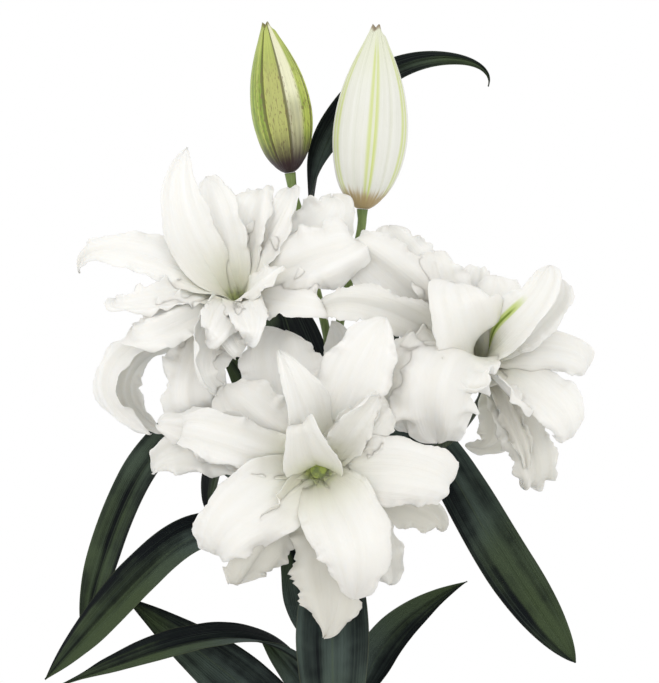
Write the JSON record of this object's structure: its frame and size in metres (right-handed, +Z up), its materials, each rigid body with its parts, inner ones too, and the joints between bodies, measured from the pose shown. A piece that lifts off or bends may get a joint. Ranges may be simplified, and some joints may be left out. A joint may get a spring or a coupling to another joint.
{
  "type": "potted double oriental lily",
  "caption": "Leafy lily stem with open double white blooms and tall closed buds, growing from a bulb in a filled round clay pot that stands on its flat foot.",
  "frame": {"origin": "centre of the pot's flat underside, where the part rests", "axes": "+Z up along the pot's axis and the stem, +X to the viewer's right, +Y away from the viewer; the blooms face -Y"},
  "size_m": [0.3347, 0.2318, 0.6404],
  "materials": {
    "clay": "matt unglazed terracotta with faint throwing lines and a little pale bloom",
    "soil": "rough dark potting soil with pale grains",
    "bulb_skin": "pale satin scales",
    "stalk": "satin green stem, lighter on the bud stalks",
    "leaf": "satin dark blue-green with fine veins along the leaf",
    "petal": "soft satin white, green-yellow in the throat and along the midribs",
    "bud_green_skin": "satin yellow-green with ribs, freckles and a purple-brown foot",
    "bud_white_skin": "satin cream white with yellow-green ribs and a brownish foot"
  },
  "bodies": {
    "root": {"pot": "clay", "soil": "soil", "bulb": "bulb_skin", "stem": "stalk", "bloom_front": "petal", "bloom_left": "petal", "bloom_right": "petal", "bud_green": "bud_green_skin", "bud_white": "bud_white_skin", "leaf_front": "leaf", "leaf_left_top": "leaf", "leaf_left_middle": "leaf", "leaf_left_low": "leaf", "leaf_left_back": "leaf", "leaf_left_small": "leaf", "leaf_left_inner": "leaf", "leaf_right_low": "leaf", "leaf_right_top": "leaf", "leaf_behind_left": "leaf", "leaf_behind_ring": "leaf", "leaf_behind_middle": "leaf", "leaf_behind_right": "leaf", "leaf_back_1": "leaf", "leaf_back_2": "leaf", "leaf_back_3": "leaf", "leaf_back_4": "leaf", "leaf_low_1": "leaf", "leaf_low_2": "leaf", "leaf_low_3": "leaf", "leaf_low_4": "leaf", "leaf_low_5": "leaf", "leaf_low_6": "leaf", "leaf_top": "leaf"}
  },
  "joints": []
}
